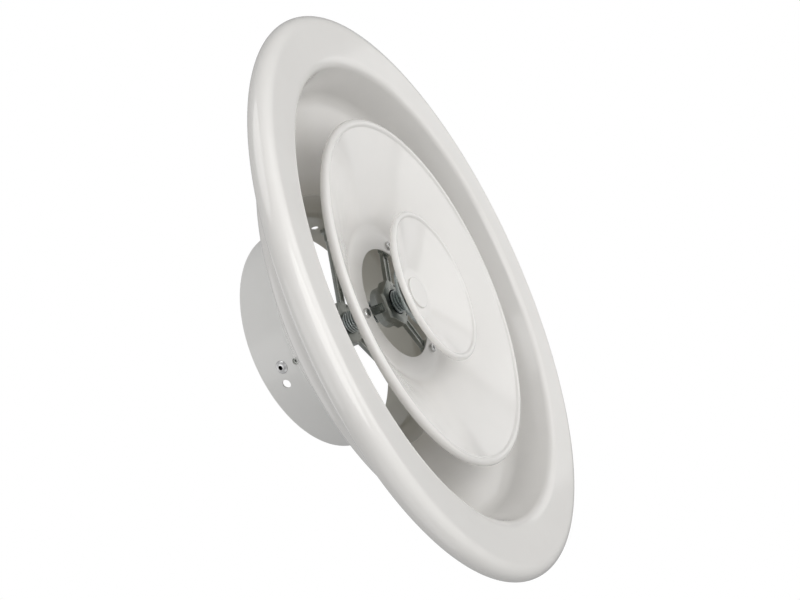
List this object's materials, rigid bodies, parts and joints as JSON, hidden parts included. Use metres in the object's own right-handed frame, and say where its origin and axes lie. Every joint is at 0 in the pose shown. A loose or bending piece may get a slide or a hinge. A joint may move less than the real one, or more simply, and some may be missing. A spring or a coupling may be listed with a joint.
{
  "type": "ceiling air diffuser",
  "caption": "Round ceiling supply-air diffuser: rolled outer cone with duct neck, and middle and inner cones on a screw spindle that moves them in and out.",
  "frame": {"origin": "centre of the neck's open end", "axes": "+Z along the neck's axis, up into the duct; the louvre faces look along -Z into the room; the bridge's first arm is 4 degrees from +X"},
  "size_m": [0.43, 0.4299, 0.1468],
  "materials": {
    "painted_sheet": "gloss off-white powder coat",
    "painted_neck": "satin off-white powder coat",
    "zinc_casting": "zinc-plated casting",
    "zinc_plate": "blue-white zinc plate",
    "bright_screw": "bright plated",
    "rivet_aluminium": "bright",
    "dark_clip": "black phosphate",
    "gasket_rubber": "matt"
  },
  "bodies": {
    "frame": {"outer_cone": "painted_sheet", "neck_collar": "painted_neck", "fixed_bridge": "zinc_casting", "neck_rivet_1": "rivet_aluminium", "neck_rivet_2": "rivet_aluminium", "neck_rivet_3": "rivet_aluminium"},
    "middle": {"middle_cone": "painted_sheet", "carrier": "zinc_casting", "cone_screw_1": "bright_screw", "cone_screw_2": "bright_screw", "cone_screw_3": "bright_screw"},
    "core": {"spindle": "zinc_plate", "drive_disc": "zinc_plate", "gasket": "gasket_rubber", "inner_cone": "painted_sheet", "centre_screw": "zinc_plate", "centre_cap": "painted_sheet", "upper_thrust_washer": "zinc_plate", "stop_washer": "zinc_plate", "lower_clip": "dark_clip", "upper_clip": "dark_clip", "stop_clip": "dark_clip"}
  },
  "joints": [
    {"name": "core_travel", "type": "slide", "parent": "frame", "child": "middle", "axis": [0, 0, 1], "range_m": [-0.012, 0.028]},
    {"name": "spindle_turn", "type": "hinge", "parent": "middle", "child": "core", "pos_m": [0, 0, 0], "axis": [0, 0, 1], "range_deg": [-1729, 4033]}
  ],
  "couplings": [
    {"joint": "spindle_turn", "follows": "core_travel", "rad_per_m": 2513.3}
  ]
}
